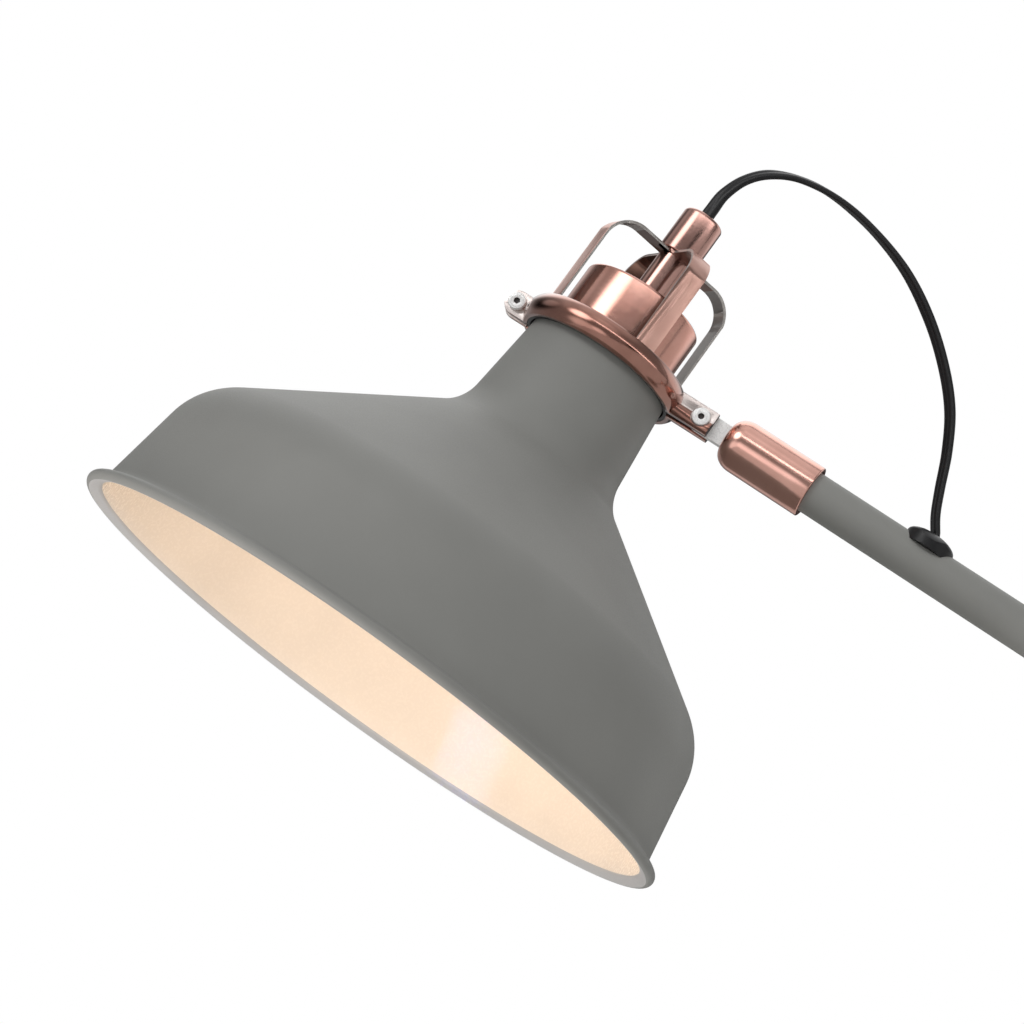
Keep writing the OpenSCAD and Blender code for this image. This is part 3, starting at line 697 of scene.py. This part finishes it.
# azimuth from the camera's side towards +X and elevation of a zone, the half angles of
# its core and of its edge, all in degrees, and the light level it adds
ZONES = [(-27, 40, 6, 19, 3.7),        # the main soft box, to the left above the camera
         (-14, -2, 4, 13, 1.1), (-40, -2, 8, 26, 0.9), (15, 38, 10, 24, 0.4),
         (55, -13, 2, 8, 1.15), (50, 60, 10, 35, 0.3),
         (166, 54, 14, 36, 1.1),       # the rear soft box
         (0, 90, 10, 50, 0.35),        # the ceiling
         (-108, 46, 15, 33, -0.26), (-92, 48, 5, 17, 0.4), (38, -3, 4, 14, -0.25),
         (85, -17, 5, 15, -0.1), (168, 0, 12, 30, -0.24),
         (125, 5, 12, 32, 0.8), (-150, 30, 10, 30, 0.1)]
# a thin arc of light: axis of its cone, half angle of the cone, half widths of its core
# and edge, and the azimuth, elevation and half angles of the part of the sky it crosses
STRIP_AXIS = (98.2, 55.7)
STRIP_CONE = 67.0
STRIP_WIDTH = (1.0, 2.6)
STRIP_MIDDLE = (35, 10)
STRIP_REACH = (36, 52)
STRIP_LEVEL = 4.5


def direction(azimuth, elevation):
    """Unit vector; azimuth 0 points from the lamp to the camera's side, and 90 towards +X."""
    a, e = math.radians(azimuth), math.radians(elevation)
    return Vector((math.sin(a) * math.cos(e), -math.cos(a) * math.cos(e), math.sin(e)))


def cosine(degrees):
    return math.cos(math.radians(degrees))


def make_world():
    """White to the camera; to the lamp, a soft studio of bright and dark zones."""
    world = bpy.data.worlds.new("studio")
    scene.world = world
    world.use_nodes = True
    tree = world.node_tree
    tree.nodes.clear()
    coords = tree.nodes.new("ShaderNodeTexCoord").outputs["Generated"]

    def math_node(operation, *values):
        node = tree.nodes.new("ShaderNodeMath")
        node.operation = operation
        for socket, value in zip(node.inputs, values):
            if isinstance(value, (int, float)):
                socket.default_value = value
            else:
                tree.links.new(value, socket)
        return node.outputs["Value"]

    def cosine_to(azimuth, elevation):
        dot = tree.nodes.new("ShaderNodeVectorMath")
        dot.operation = "DOT_PRODUCT"
        dot.inputs[1].default_value = direction(azimuth, elevation)
        tree.links.new(coords, dot.inputs[0])
        return dot.outputs["Value"]

    def share(value, edge, core):
        """0 beyond edge, 1 within core, smooth between them."""
        node = tree.nodes.new("ShaderNodeMapRange")
        node.interpolation_type = "SMOOTHSTEP"
        node.inputs["From Min"].default_value = edge
        node.inputs["From Max"].default_value = core
        tree.links.new(value, node.inputs["Value"])
        return node.outputs["Result"]

    total = BASE_LEVEL
    for azimuth, elevation, core, edge, level in ZONES:
        inside = share(cosine_to(azimuth, elevation), cosine(edge), cosine(core))
        total = math_node("MULTIPLY_ADD", inside, level, total)
    from_cone = math_node("SUBTRACT", cosine_to(*STRIP_AXIS), cosine(STRIP_CONE))
    off_strip = math_node("ABSOLUTE", from_cone)
    slope = math.sin(math.radians(STRIP_CONE))
    core, edge = (slope * math.radians(width) for width in STRIP_WIDTH)
    near = share(math_node("MULTIPLY", off_strip, -1.0), -edge, -core)
    reach = share(cosine_to(*STRIP_MIDDLE), cosine(STRIP_REACH[1]), cosine(STRIP_REACH[0]))
    strip = math_node("MULTIPLY", near, reach)
    total = math_node("MULTIPLY_ADD", strip, STRIP_LEVEL, total)
    studio = tree.nodes.new("ShaderNodeBackground")
    tree.links.new(total, studio.inputs["Color"])
    white = tree.nodes.new("ShaderNodeBackground")
    white.inputs["Color"].default_value = (1, 1, 1, 1)
    path = tree.nodes.new("ShaderNodeLightPath")
    mix = tree.nodes.new("ShaderNodeMixShader")
    tree.links.new(path.outputs["Is Camera Ray"], mix.inputs["Fac"])
    tree.links.new(studio.outputs["Background"], mix.inputs[1])
    tree.links.new(white.outputs["Background"], mix.inputs[2])
    output = tree.nodes.new("ShaderNodeOutputWorld")
    tree.links.new(mix.outputs["Shader"], output.inputs["Surface"])


def area_light(name, position, target, size, power, color, spread, up=(0, 0, 1)):
    """Rectangle of light, its beam spread degrees wide; its second side leans towards up."""
    data = bpy.data.lights.new(name, "AREA")
    data.shape = "RECTANGLE"
    data.size, data.size_y = size
    data.energy = power
    data.color = color
    data.spread = math.radians(spread)
    light = bpy.data.objects.new(name, data)
    back = (position - target).normalized()
    side = Vector(up).cross(back).normalized()
    turn = Matrix((side, back.cross(side), back)).transposed()
    light.matrix_world = Matrix.Translation(position) @ turn.to_4x4()
    scene.collection.objects.link(light)


def make_lights():
    """A warm light that only reaches the shade's mouth, and a cool patch of window light in it."""
    mouth = pivot + Vector((-0.12, 0, -0.08))
    area_light("mouth_glow", mouth + Vector((-0.258, -0.15, -0.222)), mouth, size=(0.21, 0.21),
               power=0.25, color=(1.0, 0.95, 0.93), spread=80)
    patch = HEAD @ (Vector((22, 115, 20)) * MM)
    towards_window = HEAD.to_3x3() @ Vector((0.2, -0.75, -0.62)).normalized()
    area_light("window_patch", patch + 0.25 * towards_window, patch, size=(0.024, 0.07),
               power=0.0013, color=(0.3, 0.36, 1.0), spread=3, up=(0.37, 0, 0.93))


FLOOR_HALF = 3.0
FLOOR_DROP = 0.0005       # keeps the floor clear of the foot pad's underside


def make_floor():
    """Plain pale floor under the lamp."""
    bm = bmesh.new()
    bmesh.ops.create_grid(bm, x_segments=8, y_segments=8, size=FLOOR_HALF)
    mesh = bpy.data.meshes.new("floor")
    bm.to_mesh(mesh)
    bm.free()
    mesh.materials.append(plain("floor", (0.70, 0.70, 0.69), 0.003, 0.00002, 0.6))
    floor = bpy.data.objects.new("floor", mesh)
    floor.location.z = -FLOOR_DROP
    scene.collection.objects.link(floor)


make_camera()
make_cord()
make_shade()
make_cup()
make_stem()
make_cap()
make_cage()
make_clamps()
make_socket_screw("tilt_screw")
make_socket_screw("clamp_screw")
make_sleeve()

# CAD nodes whose sharp edges are rounded, from the head down to the base: their material,
# its slot, and each node's rounding
EASED = [(steel, "bright_steel", {"head_tongue": 0.25, "tilt_nut": 0.2, "clamp_nut": 0.2}),
         (rubber, "black_rubber", {"cord_grommet": 0.3}),
         (tube_paint, "sand_grey_paint", {"upper_tube": 0.2, "lower_tube": 0.2}),
         (copper_upper, "copper", {"elbow_eye": 0.5, "elbow_sleeve": 0.3}),
         (copper_lower, "copper", {"elbow_fork": 0.5, "lower_top_sleeve": 0.3,
                                   "lower_bottom_sleeve": 0.3, "shoulder_eye": 0.5}),
         (copper_base, "copper", {"swivel_post": 0.5, "post_sleeve": 0.3, "swivel_bush": 0.3}),
         (copper_lower, "copper", {"elbow_knob": 0.5, "shoulder_knob": 0.5}),
         (steel, "bright_steel", {"elbow_bolt": 0.4, "shoulder_bolt": 0.4}),
         (paint, "sand_grey_paint", {"base_shell": 0.4}),
         (rubber, "black_rubber", {"lead_gland": 0.4})]
for material, slot, widths in EASED:
    for node, width in widths.items():
        eased_piece(node, width, material, slot)

# CAD nodes that are carried over as they are
CARRIED = [(steel, ["plate_screws", "bush_nut", "swivel_spindle", "spindle_washer",
                    "spindle_nut"]),
           (zinc, ["base_plate"]),
           (iron, ["base_weight"]),
           (brass, ["hollow_nipple", "nipple_nut", "thread_shell", "centre_contact",
                    "side_contact"]),
           (porcelain, ["holder_body", "holder_ring"]),
           (rubber, ["foot_pad", "lower_lead", "upper_lead", "clamp_liner", "cord_tail"]),
           (black_plastic, ["shoulder_washers", "elbow_washers", "tilt_washers", "cap_bush"])]
for material, nodes in CARRIED:
    for node in nodes:
        frame["nodes"][node].material_slots[0].material = material

make_floor()
make_world()
make_lights()
scene.view_settings.view_transform = "Standard"
